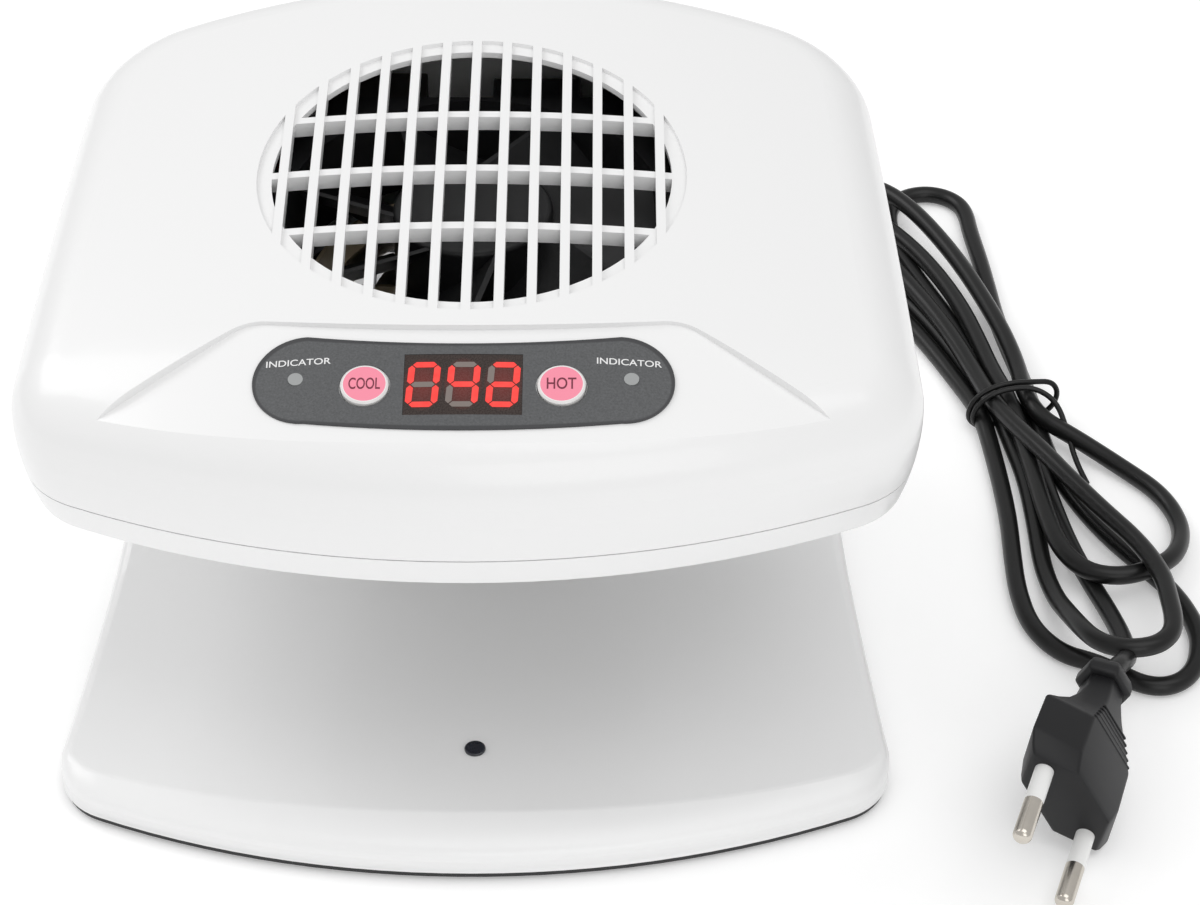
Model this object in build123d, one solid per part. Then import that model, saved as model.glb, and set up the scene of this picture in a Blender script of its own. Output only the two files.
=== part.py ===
from build123d import *
from math import atan2, cos, degrees, pi, radians, sin, sqrt, tan
import os

# Hot and cool air nail dryer. Millimetres, +Z up, front at -Y. The origin is on the
# ground under the middle of the body: the cord and its plug are not counted.

# ---- hood, seen from above ----
hood_front = -73.0            # middle of the front bow
hood_back = 84.0              # middle of the rear bow
hood_front_half = 90.3        # half width where side and front bow would meet
hood_front_corner = -50.0
hood_back_half = 83.0
hood_back_corner = 66.0
hood_front_round = 20.0
hood_back_round = 30.0
# ---- hood, from the side ----
wall = 2.2
hood_bottom = 68.0            # lower edge of the skirt
seam_z = 75.0                 # parting line of cover and body
seam_gap = 0.3
bulge_z = 84.0                # height at which the hood is widest
skirt_tuck = 3.0              # how far the skirt's lower edge lies inside the widest line
tray_z = 70.0                 # underside of the hood
crown_radius = 390.0          # dome across X
dome_radius = 800.0           # dome along Y, over the fan
dome_slope = 4.0              # degrees at the fan's axis, rising to the back
dome_z = 113.0                # top surface at the fan's axis
nose_radius = 95.0            # tighter arc in front of the grille
nose_start = -38.0
rim_round = 14.0              # roll-over round the top
# ---- console and panel ----
console_tilt = 15.0
panel_y = -53.6
panel_z = 103.5
console_back = -40.8          # middle of the console's rear edge
console_back_half = 42.0
console_corner_y = -37.0
console_front_half = 80.0
console_front_y = -62.0
console_round = 10.0
panel_width = 80.6
panel_height = 20.4
panel_arch = 190.0            # radius of the panel's long edges
film = 0.4
window_width = 22.6
window_height = 14.4
display_size = (22.4, 14.0)
button_x = 18.7
button_dia = 9.2
button_travel = 0.5
button_proud = 0.7
button_rim = 0.55             # ring of the cap round its coloured face
cap_bottom = -4.4             # below the console's surface
plunger_radius = 1.75
switch_size = 6.0
switch_height = 3.4
switch_floor = 1.2            # board to the bottom of the switch's bore
lamp_x = 32.0
lamp_dia = 3.0
lamp_rise = 2.4               # up the console from the keys' row, as the panel arches
# ---- grille and fan ----
fan_y = 7.0
grille_radius = 40.5
ring_radius = 43.5
ring_depth = 0.9
bar_count = 13
bar_pitch = 6.35
bar_width = 1.9
bar_depth = 3.2
cross_offsets = (-18.0, 0.0, 18.0)
cross_width = 2.0
cross_drop = 0.9
cross_depth = 4.1
fan_size = 80.0
fan_height = 20.0
fan_top = 103.0
fan_bore = 77.0
fan_hole_pitch = 71.5
fan_hole = 4.3
hub_radius = 16.4
hub_wall = 1.6
blade_count = 7
blade_tip_gap = 1.0
shaft_radius = 1.5
bearing_radius = 3.0
post_radius = 4.6             # the frame's tube round the bearing
strut = 2.5
# ---- body under the hood ----
foot_height = 1.0
plate_thickness = 1.5
base_front = -84.0
base_back = 80.0
base_front_half = 86.8
base_front_corner = -63.6
base_back_half = 73.0
base_back_corner = 66.0
base_front_round = 14.0
base_back_round = 20.0
front_height = 8.0            # top of the front face
lip_y = -75.0
lip_z = 10.8
floor_mid = (-42.0, 9.5)
floor_end = (-5.0, 12.2)
cove_radius = 60.0
edge_round = 2.5
outlet_radius = 38.0
# ---- fits and fasteners ----
slip = 0.3                    # clearance between parts that move or drop in
screw_radius = 1.5
screw_head = 2.8
boss_radius = 3.4
foot_dia = 10.0
foot_pocket = 0.4
# ---- boards ----
board_thickness = 1.6
board_drop = 9.0              # panel surface to the control board's top
control_size = (84.0, 19.0)
control_post = (38.5, 6.0)
power_size = (104.0, 24.0)
power_y = 61.5
power_z = 78.0
sensor_y = -55.5
sensor_dia = 4.4
# ---- cord ----
cord_dia = 4.2
grommet_x = 0.0
grommet_z = 16.0
grommet_length = 26.0
collar_at = (131.2, -42.5, 17.7)       # where the cord enters the plug
plug_turn = -19.4             # degrees about Z, from pointing at -Y
plug_droop = 4.7              # degrees that the pins point down
plug_roll = -60.0             # degrees that the plug is tipped onto its edge
plug_length = 36.0
plug_width = 34.4
plug_depth = 13.6
pin_spacing = 19.0
pin_length = 19.0
pin_radius = 2.0
sleeve_length = 9.0

body_bottom = foot_height + plate_thickness
parts = {}


def save(name, *shapes):
    """Write one node; several shapes are kept as separate solids."""
    solids = [s for shape in shapes for s in shape.solids()]
    whole = solids[0] if len(solids) == 1 else Compound(children=[Solid(s.wrapped) for s in solids])
    whole.label = name
    parts[name] = whole
    export_step(whole, os.path.join("parts", name + ".step"))


def tube(radius, bore, low, high, x=0.0, y=0.0):
    solid = cylinder(radius, low, high, x, y)
    return solid - cylinder(bore, low - 1, high + 1, x, y)


def cylinder(radius, low, high, x=0.0, y=0.0):
    return Pos(x, y, low) * Cylinder(radius, high - low, align=(Align.CENTER, Align.CENTER, Align.MIN))


def block(x0, x1, y0, y1, z0, z1):
    return Pos((x0 + x1) / 2, (y0 + y1) / 2, (z0 + z1) / 2) * Box(x1 - x0, y1 - y0, z1 - z0)


def side_plane():
    """Sketches drawn as (y, z) pairs are put on this plane."""
    return Plane(origin=(0, 0, 0), x_dir=(0, 1, 0), z_dir=(1, 0, 0))


# ---------------------------------------------------------------- outlines
def bowed_outline(front, back, front_point, back_point, front_round, back_round):
    """A four-sided outline with bowed front and back and rounded corners."""
    (xf, yf), (xb, yb) = front_point, back_point
    wire = Wire([
        ThreePointArc((-xf, yf), (0, front), (xf, yf)),
        Line((xf, yf), (xb, yb)),
        ThreePointArc((xb, yb), (0, back), (-xb, yb)),
        Line((-xb, yb), (-xf, yf)),
    ])
    face = make_face(wire)
    face = fillet([v for v in face.vertices() if v.Y < 0], front_round)
    return fillet(face.vertices().sort_by(Axis.Y)[-2:], back_round)


def hood_outline(inset=0.0):
    face = bowed_outline(hood_front, hood_back, (hood_front_half, hood_front_corner),
                         (hood_back_half, hood_back_corner), hood_front_round, hood_back_round)
    return offset(face, -inset) if inset else face


def base_outline(inset=0.0):
    face = bowed_outline(base_front, base_back, (base_front_half, base_front_corner),
                         (base_back_half, base_back_corner), base_front_round, base_back_round)
    return offset(face, -inset) if inset else face


# ---------------------------------------------------------------- hood surfaces
def crown_axis():
    return Axis((0, 0, dome_z - crown_radius), (0, 1, 0))


def crowned(face):
    """Turn a side-view face about the crown's axis, 17 degrees each way."""
    solid = revolve(side_plane() * face, crown_axis(), 34)
    return solid.rotate(crown_axis(), -17)


def dome_point(y, drop=0.0):
    """A point of the dome's middle line, moved in by drop square to the surface."""
    slope = radians(dome_slope)
    centre = Vector(fan_y + dome_radius * sin(slope), dome_z - dome_radius * cos(slope))
    top = Vector(y, centre.Y + sqrt(dome_radius ** 2 - (y - centre.X) ** 2))
    return top - (top - centre).normalized() * drop


def dome(drop=0.0):
    """Everything under the hood's top surface, lowered by drop."""
    start, end = dome_point(nose_start, drop), dome_point(hood_back + 16, drop)
    main = ThreePointArc(start, dome_point(fan_y + 16, drop), end)
    nose = JernArc(start, -(main % 0), nose_radius - drop, 22)
    tip = nose @ 1
    tail_end = tip + (nose % 1) * 40
    floor = 40.0
    return crowned(make_face(Wire([
        main, nose, Line(tip, tail_end), Line(tail_end, (tail_end.X, floor)),
        Line((tail_end.X, floor), (end.X, floor)), Line((end.X, floor), end),
    ])))


def console_line(y, drop=0.0):
    return panel_z - drop / cos(radians(console_tilt)) + (y - panel_y) * tan(radians(console_tilt))


def above_console(drop=0.0):
    """Everything above the sloped console surface, lowered by drop."""
    y0, y1, top = hood_front - 30, 0.0, dome_z + 40
    face = make_face(Polyline((y0, console_line(y0, drop)), (y1, console_line(y1, drop)),
                              (y1, top), (y0, top), close=True))
    return crowned(face)


def console_well(drop=0.0):
    """What the console takes out of the dome; its walls slope out a little."""
    half, corner = console_back_half + drop, console_corner_y + drop
    wire = Wire([
        ThreePointArc((-half, corner), (0, console_back + drop), (half, corner)),
        Line((half, corner), (console_front_half + drop, console_front_y)),
        Line((console_front_half + drop, console_front_y), (console_front_half + drop, hood_front - 20)),
        Line((console_front_half + drop, hood_front - 20), (-console_front_half - drop, hood_front - 20)),
        Line((-console_front_half - drop, hood_front - 20), (-console_front_half - drop, console_front_y)),
        Line((-console_front_half - drop, console_front_y), (-half, corner)),
    ])
    face = fillet(make_face(wire).vertices().filter_by(lambda v: v.Y > console_front_y - 1), console_round)
    return extrude(Pos(0, 0, seam_z) * face, 60) & above_console(drop)


def hood_upper(inset=0.0):
    """The hood above its widest line, inset on all sides."""
    solid = extrude(Pos(0, 0, bulge_z) * hood_outline(inset), 60) & dome(inset)
    rim = [e for e in solid.edges() if e.bounding_box().min.Z > bulge_z + 2]
    solid = fillet(rim, rim_round - inset)
    return solid - console_well(inset)


def hood_lower(inset=0.0):
    """The hood below its widest line, tucked in towards the skirt's edge."""
    levels = ((hood_bottom, skirt_tuck), ((hood_bottom + bulge_z) / 2, skirt_tuck * 0.3), (bulge_z, 0.0))
    return loft([Pos(0, 0, z) * hood_outline(inset + tuck) for z, tuck in levels])


def panel_plane(n=0.0, x=0.0):
    """A plane parallel to the panel at x, n above the console's surface there."""
    tilt = radians(console_tilt)
    sag = crown_radius - sqrt(crown_radius ** 2 - x ** 2)
    normal = Vector(0, -sin(tilt), cos(tilt))
    origin = Vector(x, panel_y, panel_z - sag) + normal * n
    return Plane(origin=origin, x_dir=(1, 0, 0), z_dir=normal)


def panel_cylinder(radius, low, high, x=0.0, v=0.0):
    """A round piece square to the panel at (x, v), from low to high."""
    at = panel_plane(low, x) * Pos(0, v, 0)
    return at * Cylinder(radius, high - low, align=(Align.CENTER, Align.CENTER, Align.MIN))


def panel_box(width, height, low, high, x=0.0, v=0.0, at_x=0.0):
    at = panel_plane(low, at_x) * Pos(x - at_x, v, 0)
    return at * Box(width, height, high - low, align=(Align.CENTER, Align.CENTER, Align.MIN))


def panel_skin(low, high):
    """A skin that follows the console, from low to high above it."""
    return above_console(-low) - above_console(-high)


def panel_stadium(grow=0.0):
    """The panel's outline: arched long edges and round ends."""
    half, h = panel_width / 2 + grow, panel_height / 2 + grow
    straight = half - h
    sag = panel_arch - sqrt(panel_arch ** 2 - straight ** 2)
    top, low = h - 0.45, -h - 0.45
    wire = Wire([
        ThreePointArc((-straight, top + sag), (0, top), (straight, top + sag)),
        ThreePointArc((straight, top + sag), (half, sag - 0.45), (straight, low + sag)),
        ThreePointArc((straight, low + sag), (0, low), (-straight, low + sag)),
        ThreePointArc((-straight, low + sag), (-half, sag - 0.45), (-straight, top + sag)),
    ])
    return extrude(panel_plane(-8) * make_face(wire), 16)


# ---------------------------------------------------------------- casings
def cover_boss_places():
    return [(sx * x, y) for x, y in ((72.0, -38.0), (68.0, 56.0)) for sx in (-1, 1)]


def grille_bars():
    bars = dome() - dome(bar_depth)
    keep = cylinder(ring_radius, bulge_z, dome_z + 20, 0, fan_y)
    first = -(bar_count - 1) / 2 * bar_pitch
    strips = [block(first + i * bar_pitch - bar_width / 2, first + i * bar_pitch + bar_width / 2,
                    fan_y - ring_radius - 1, fan_y + ring_radius + 1, bulge_z, dome_z + 20)
              for i in range(bar_count)]
    return [bars & keep & strip for strip in strips]


def cross_bars():
    bars = dome(cross_drop) - dome(cross_depth)
    keep = cylinder(grille_radius + 0.6, bulge_z, dome_z + 20, 0, fan_y)
    strips = [block(-50, 50, fan_y + y - cross_width / 2, fan_y + y + cross_width / 2, bulge_z, dome_z + 20)
              for y in cross_offsets]
    return [bars & keep & strip for strip in strips]


def cover_shell():
    outer = hood_upper() + hood_lower()
    inner = hood_upper(wall) + hood_lower(wall)
    shell = outer - inner
    return shell - block(-120, 120, -120, 120, 0, seam_z + seam_gap / 2)


def cover_bosses():
    inside = hood_upper(wall / 2) + hood_lower(wall / 2)
    return [cylinder(boss_radius, tray_z + wall, dome_z, x, y) & inside for x, y in cover_boss_places()]


def top_cover():
    hole = cylinder(grille_radius, bulge_z, dome_z + 20, 0, fan_y)
    ring = cylinder(ring_radius, bulge_z, dome_z + 20, 0, fan_y) - dome(ring_depth)
    cover = cover_shell() - ring - hole
    posts = [Pos(sx * control_post[0], 0, 0)
             * panel_cylinder(2.6, -board_drop, -2.7, 0, sy * control_post[1])
             for sx in (-1, 1) for sy in (-1, 1)]
    cover = cover + grille_bars() + cross_bars() + cover_bosses() + posts
    cover = cover - panel_box(window_width + slip, window_height + slip, -8, 4)
    for sx in (-1, 1):
        cover = cover - panel_cylinder(button_dia / 2 + slip / 2, -8, 4, sx * button_x)
        cover = cover - panel_cylinder(lamp_dia / 2, -8, 4, sx * lamp_x, lamp_rise)
        for sy in (-1, 1):
            pilot = panel_cylinder(
                screw_radius * 0.8, -board_drop - 1, -board_drop + 5, 0, sy * control_post[1])
            cover = cover - Pos(sx * control_post[0], 0, 0) * pilot
    for x, y in cover_boss_places():
        cover = cover - cylinder(screw_radius, tray_z, tray_z + 18, x, y)
    return cover


def floor_centre():
    """Centre of the circle through the hollow floor's three points, as (y, z)."""
    (x1, y1), (x2, y2), (x3, y3) = (lip_y, lip_z), floor_mid, floor_end
    d = 2 * (x1 * (y2 - y3) + x2 * (y3 - y1) + x3 * (y1 - y2))
    s1, s2, s3 = x1 ** 2 + y1 ** 2, x2 ** 2 + y2 ** 2, x3 ** 2 + y3 ** 2
    return Vector((s1 * (y2 - y3) + s2 * (y3 - y1) + s3 * (y1 - y2)) / d,
                  (s1 * (x3 - x2) + s2 * (x1 - x3) + s3 * (x2 - x1)) / d)


def floor_height(y):
    """Height of the hollow floor's top face."""
    centre = floor_centre()
    radius = (Vector(*floor_end) - centre).length
    return centre.Y - sqrt(radius ** 2 - (y - centre.X) ** 2)


def c_profile(bottom, top, inset=0.0):
    """The body seen from the side: hollow floor, cove, straight back."""
    centre = floor_centre()
    shown = ((lip_y, lip_z), floor_mid, floor_end)
    deep = [Vector(*p) + (Vector(*p) - centre).normalized() * inset for p in shown]
    floor_arc = ThreePointArc(*deep)
    front = deep[0] - (floor_arc % 0) * (lip_y - base_front + 12)
    cove = JernArc(deep[2], floor_arc % 1, cove_radius + inset, 90 - floor_slope())
    head, back = cove @ 1, base_back - inset
    return make_face(Wire([
        Line((front.X, bottom), front), Line(front, deep[0]), floor_arc, cove,
        Line(head, (head.X, top)), Line((head.X, top), (back, top)),
        Line((back, top), (back, bottom)), Line((back, bottom), (front.X, bottom)),
    ]))


def floor_slope():
    """Slope of the floor, in degrees, where the cove begins."""
    centre = floor_centre()
    return degrees(atan2(floor_end[0] - centre.X, centre.Y - floor_end[1]))


def lip_section(back_by, inset=0.0):
    """The base's outline with its front bow moved back."""
    slope = (base_front_half - base_back_half) / (base_back_corner - base_front_corner)
    front_point = (base_front_half - slope * back_by, base_front_corner + back_by)
    face = bowed_outline(base_front + back_by, base_back, front_point,
                         (base_back_half, base_back_corner), base_front_round, base_back_round)
    return offset(face, -inset) if inset else face


def lip_slab(bottom, inset=0.0):
    """The base below its floor: a short upright front that rolls over into the lip."""
    lip_run = lip_y - base_front
    if inset:
        return extrude(Pos(0, 0, bottom) * lip_section(lip_run / 2, inset), lip_z - bottom)
    rolls = ((bottom, 0.0), (front_height - 2.4, 0.0), (front_height - 0.6, 0.4),
             (front_height + 0.5, 1.7), (lip_z - 1.0, lip_run * 0.55), (lip_z, lip_run + 0.6))
    return loft([Pos(0, 0, z) * lip_section(back) for z, back in rolls])


def body_core(bottom, top, inset=0.0):
    side = extrude(side_plane() * c_profile(bottom, top, inset), 120, both=True)
    solid = side & extrude(Pos(0, 0, bottom - 20) * base_outline(inset), top - bottom + 40)
    front = block(-120, 120, base_front - 20, floor_mid[0], bottom - 20, top + 20)
    return (solid - front) + (solid & front & lip_slab(bottom, inset))


def is_side_edge(edge):
    """The long edges where the hollow floor and the cove meet the body's sides."""
    box = edge.bounding_box()
    above = box.max.Z > lip_z and box.min.Z > body_bottom + 1
    return above and abs(edge.center().X) > 60 and edge.center().Y < 46


def hood_tray():
    """The skirt below the seam and the plate that closes the hood's underside."""
    top = seam_z - seam_gap / 2
    ring = hood_lower() - hood_lower(wall)
    ring = ring & block(-120, 120, -120, 120, 0, top)
    plate = hood_lower(wall / 2) & block(-120, 120, -120, 120, tray_z, tray_z + wall)
    return ring + plate


def fan_screw_places():
    half = fan_hole_pitch / 2
    return [(sx * half, fan_y + sy * half) for sx in (-1, 1) for sy in (-1, 1)]


def power_screw_places():
    return [(sx * (power_size[0] / 2 - 4), power_y + sy * (power_size[1] / 2 - 4))
            for sx in (-1, 1) for sy in (-1, 1)]


def body_bosses():
    """Screw pillars under the fan, and under the power board on two ribs across the neck."""
    low = tray_z + 1
    pillars = [cylinder(boss_radius, low, fan_top - fan_height, x, y) for x, y in fan_screw_places()]
    pillars += [cylinder(boss_radius, low, power_z, x, y) for x, y in power_screw_places()]
    rib_x = power_size[0] / 2 - 4
    back = base_back_at(rib_x) - wall / 2
    ribs = [block(sx * rib_x - 2.5, sx * rib_x + 2.5, 46.5, back, 64, tray_z + wall) for sx in (-1, 1)]
    return pillars + ribs


def base_back_at(x):
    """Where the body's bowed rear wall lies at x."""
    rise = base_back - base_back_corner
    bow = (base_back_half ** 2 + rise ** 2) / (2 * rise)
    return base_back - bow + sqrt(bow ** 2 - x ** 2)


def base_boss_places():
    rear = 54.0
    rear_y = base_back_at(rear) - wall - boss_radius * 0.6
    return [(sx * x, y) for x, y in ((68.0, -44.0), (rear, rear_y)) for sx in (-1, 1)]


def main_body():
    core = body_core(body_bottom, tray_z + wall)
    core = fillet([e for e in core.edges() if is_side_edge(e)], edge_round)
    hollow = body_core(body_bottom - 12, seam_z + 20, wall)
    body = core + hood_tray() - hollow
    body = body - cylinder(outlet_radius, tray_z - 1, tray_z + wall + 1, 0, fan_y)
    inside = body_core(body_bottom, tray_z, wall / 2)
    base_bosses = [cylinder(boss_radius, body_bottom, 30, x, y) & inside for x, y in base_boss_places()]
    body = body + body_bosses() + base_bosses
    holes = [cylinder(screw_radius, body_bottom - 1, body_bottom + 4, x, y) for x, y in base_boss_places()]
    holes += [cylinder(screw_radius, tray_z + wall + 2, fan_top, x, y) for x, y in fan_screw_places()]
    holes += [cylinder(screw_radius, tray_z + wall + 1, fan_top, x, y) for x, y in power_screw_places()]
    for x, y in cover_boss_places():
        holes.append(cylinder(screw_radius + slip, tray_z - 1, tray_z + wall + 1, x, y))
    holes.append(cylinder(sensor_dia / 2 - 0.4, 0, 20, 0, sensor_y))
    holes.append(Pos(grommet_x, base_back, grommet_z) * Rot(90, 0, 0) * Cylinder(4.2, 12))
    return body - holes


def bottom_plate():
    plate = extrude(Pos(0, 0, foot_height) * base_outline(0.5), plate_thickness)
    for x, y in foot_places():
        plate = plate - cylinder(foot_dia / 2, 0, foot_height + foot_pocket, x, y)
    for x, y in base_boss_places():
        plate = plate - cylinder(screw_radius + 0.1, 0, 6, x, y)
        plate = plate - cylinder(screw_head, 0, foot_height + 0.8, x, y)
    for i in range(7):
        x = -18 + 6 * i
        plate = plate - block(x - 1, x + 1, 20, 40, 0, 6)
    return plate


def foot_places():
    return [(sx * x, y) for x, y in ((70.0, -58.0), (62.0, 50.0)) for sx in (-1, 1)]


def rubber_feet():
    feet = []
    for x, y in foot_places():
        foot = cylinder(foot_dia / 2, 0, foot_height + foot_pocket, x, y)
        feet.append(chamfer(foot.edges().group_by(Axis.Z)[0], 0.3))
    return feet


# ---------------------------------------------------------------- console pieces
def panel_overlay():
    skin = panel_stadium() & panel_skin(0, film)
    skin = skin - panel_box(window_width, window_height, -6, 6)
    for sx in (-1, 1):
        skin = skin - panel_cylinder(button_dia / 2 + slip, -6, 6, sx * button_x)
        skin = skin - panel_cylinder(lamp_dia / 2, -6, 6, sx * lamp_x, lamp_rise)
    return skin


def display_window():
    return panel_box(window_width - 0.1, window_height - 0.1, -0.4, 6) & panel_skin(-0.4, film * 0.8)


def display_module():
    return panel_box(*display_size, -board_drop, -0.6)


def lamp_lenses():
    lenses = []
    for sx in (-1, 1):
        lens = panel_cylinder(lamp_dia / 2 - 0.05, -4.0, film + 0.1, sx * lamp_x, lamp_rise)
        lens = lens + panel_cylinder(lamp_dia / 2 + 0.8, -4.0, -2.6, sx * lamp_x, lamp_rise)
        lenses.append(lens)
    return lenses


def lamp_chips():
    return [panel_box(2.0, 1.2, -board_drop, -board_drop + 0.8, sx * lamp_x, lamp_rise) for sx in (-1, 1)]


def control_board():
    board = panel_box(control_size[0], control_size[1], -board_drop - board_thickness, -board_drop)
    for sx in (-1, 1):
        for sy in (-1, 1):
            hole = panel_cylinder(
                screw_radius + 0.1, -board_drop - 3, -board_drop + 1, 0, sy * control_post[1])
            board = board - Pos(sx * control_post[0], 0, 0) * hole
    return board


def control_screws():
    under = -board_drop - board_thickness
    screws = []
    for sx in (-1, 1):
        for sy in (-1, 1):
            head = panel_cylinder(screw_head, under - 1.6, under, 0, sy * control_post[1])
            shank = panel_cylinder(screw_radius * 0.8, under - 1, under + 5.5, 0, sy * control_post[1])
            screws.append(Pos(sx * control_post[0], 0, 0) * (head + shank))
    return screws


def tact_switches():
    """Two switch housings, each open at the top for its plunger."""
    switches = []
    for sx in (-1, 1):
        body = panel_box(switch_size, switch_size, -board_drop, -board_drop + switch_height, sx * button_x)
        bore = panel_cylinder(plunger_radius + slip, -board_drop + switch_floor, 0, sx * button_x)
        switches.append(body - bore)
    return switches


def button_cap(x):
    top = film + button_proud
    cap = panel_cylinder(button_dia / 2, cap_bottom, top, x)
    square = Axis(panel_plane().origin, panel_plane().z_dir)
    cap = chamfer(cap.edges().sort_by(square)[-1:], 0.35)
    cap = cap + panel_cylinder(button_dia / 2 + 1.1, cap_bottom, -wall - 0.7, x)
    return cap - panel_cylinder(button_dia / 2 - button_rim, top - 0.3, 3, x)


def button_face(x):
    top = film + button_proud
    return panel_cylinder(button_dia / 2 - button_rim, top - 0.3, top - 0.02, x)


def button_plunger(x):
    low = -board_drop + switch_floor + button_travel + 0.5
    return panel_cylinder(plunger_radius, low, cap_bottom, x)


# ---------------------------------------------------------------- fan
def fan_frame():
    low = fan_top - fan_height
    frame = block(-fan_size / 2, fan_size / 2, fan_y - fan_size / 2, fan_y + fan_size / 2, low, fan_top)
    frame = fillet(frame.edges().filter_by(Axis.Z), 4)
    frame = frame - cylinder(fan_bore / 2, low - 1, fan_top + 1, 0, fan_y)
    bar = Box(fan_bore + 4, 3.4, strut)
    struts = [Pos(0, fan_y, low + strut / 2) * Rot(0, 0, turn) * bar for turn in (45, 135)]
    frame = frame + struts + cylinder(hub_radius, low, low + strut, 0, fan_y)
    frame = frame + cylinder(post_radius, low, low + 11, 0, fan_y)
    frame = frame - cylinder(bearing_radius, low + 1, low + 20, 0, fan_y)
    half = fan_hole_pitch / 2
    for sx in (-1, 1):
        for sy in (-1, 1):
            frame = frame - cylinder(fan_hole / 2, low - 1, fan_top + 1, sx * half, fan_y + sy * half)
            slot = block(-4.4, 4.4, -4.4, 4.4, low + 4, fan_top - 4)
            frame = frame - Pos(sx * (half + 4.2), fan_y + sy * (half + 4.2), 0) * slot
    return frame


def fan_bearing():
    low = fan_top - fan_height
    return tube(bearing_radius, shaft_radius + 0.05, low + 1.5, low + 10.5, 0, fan_y)


def fan_stator():
    """Laminated core with four wound poles, on the frame's bearing tube."""
    low = fan_top - fan_height
    core = tube(6.4, post_radius, low + 3.5, low + 10.5, 0, fan_y)
    for turn in range(4):
        arm = Pos(0, fan_y, low + 7) * Rot(0, 0, 90 * turn) * Pos(9.0, 0, 0) * Box(6.0, 4.0, 5.0)
        shoe = tube(hub_radius - hub_wall - 1.6, 11.0, low + 4.5, low + 9.5, 0, fan_y)
        wedge = Pos(0, fan_y, low + 7) * Rot(0, 0, 90 * turn) * Pos(12.0, 0, 0) * Box(4.4, 13.0, 5.0)
        core = core + arm + (shoe & wedge)
    return core


def fan_shaft():
    low = fan_top - fan_height
    return cylinder(shaft_radius, low + 1.6, fan_top - 1.9, 0, fan_y)


def fan_rotor():
    low, top = fan_top - fan_height + 3.4, fan_top - 0.5
    hub = cylinder(hub_radius, low, top, 0, fan_y)
    hub = fillet(hub.edges().group_by(Axis.Z)[-1], 1.2)
    hub = hub - cylinder(hub_radius - hub_wall, low - 1, top - 1.4, 0, fan_y)
    tip = fan_bore / 2 - blade_tip_gap
    span = tube(tip, hub_radius - 0.8, low + 0.2, top - 0.6, 0, fan_y)
    curve = ThreePointArc((-11.5, -8.0), (1.5, -1.0), (10.0, 8.4))
    section = make_face(Wire([curve, Line(curve @ 1, curve @ 1 + (0, 1.3))]
                             + [ThreePointArc(curve @ 1 + (0, 1.3), (1.0, 0.5), curve @ 0 + (0, 1.3)),
                                Line(curve @ 0 + (0, 1.3), curve @ 0)]))
    plane = Plane(origin=(hub_radius - 3, 0, (low + top) / 2), x_dir=(0, 1, 0), z_dir=(1, 0, 0))
    blade = extrude(plane * section, tip - hub_radius + 8)
    rotor = hub
    for i in range(blade_count):
        turned = Pos(0, fan_y, 0) * Rot(0, 0, 360 * i / blade_count) * blade
        rotor = rotor + (turned & span)
    return rotor


def headed_screw(x, y, head_low, head_high, tip):
    """A pan-head screw along Z, whose shank leaves the head on its tip's side."""
    head = cylinder(screw_head, head_low, head_high, x, y)
    low, high = sorted((tip, head_high if tip > head_high else head_low))
    return head + cylinder(screw_radius, low, high, x, y)


def fan_screws():
    half = fan_hole_pitch / 2
    return [headed_screw(sx * half, fan_y + sy * half, fan_top, fan_top + 1.5, tray_z + wall + 3)
            for sx in (-1, 1) for sy in (-1, 1)]


# ---------------------------------------------------------------- heater and outlet
def outlet_grille():
    low, high = tray_z + wall, tray_z + wall + 1.8
    disc = cylinder(outlet_radius + 4, low, high, 0, fan_y)
    neck = cylinder(outlet_radius - slip, tray_z + 0.4, low, 0, fan_y)
    grille = disc + neck
    for i in range(-5, 6):
        x = i * 6.6
        length = sqrt((outlet_radius - 3) ** 2 - x ** 2)
        slot = block(x - 2.2, x + 2.2, -length, -1.2, 0, 90) + block(x - 2.2, x + 2.2, 1.2, length, 0, 90)
        grille = grille - Pos(0, fan_y, 0) * slot
    half = fan_hole_pitch / 2
    for sx in (-1, 1):
        for sy in (-1, 1):
            grille = grille - cylinder(boss_radius + slip, 0, 90, sx * half, fan_y + sy * half)
    return grille


heater_low = tray_z + wall + 1.8
heater_high = fan_top - fan_height - 0.4
coil_radii = (11.0, 20.0, 29.0)
coil_thick = 1.9


def heater_coils():
    middle = (heater_low + heater_high) / 2
    return [Pos(0, fan_y, middle) * Torus(r, coil_thick) for r in coil_radii]


def heater_frame():
    """Two crossed mica sheets in a mica ring, notched for the coils."""
    frame = tube(35.0, 34.2, heater_low, heater_high, 0, fan_y)
    frame = frame + block(-34.6, 34.6, fan_y - 0.4, fan_y + 0.4, heater_low, heater_high)
    frame = frame + block(-0.4, 0.4, fan_y - 34.6, fan_y + 34.6, heater_low, heater_high)
    middle = (heater_low + heater_high) / 2
    for r in coil_radii:
        frame = frame - Pos(0, fan_y, middle) * Torus(r, coil_thick + 0.1)
    return frame


def thermal_cutout():
    middle = (heater_low + heater_high) / 2
    return block(22.6, 25.2, fan_y + 1.5, fan_y + 8.5, middle - 1.8, middle + 1.8)


# ---------------------------------------------------------------- power board
def power_box(width, depth, height, x, y):
    top = power_z + board_thickness
    front = power_y + y - depth / 2
    return block(x - width / 2, x + width / 2, front, front + depth, top, top + height)


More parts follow.
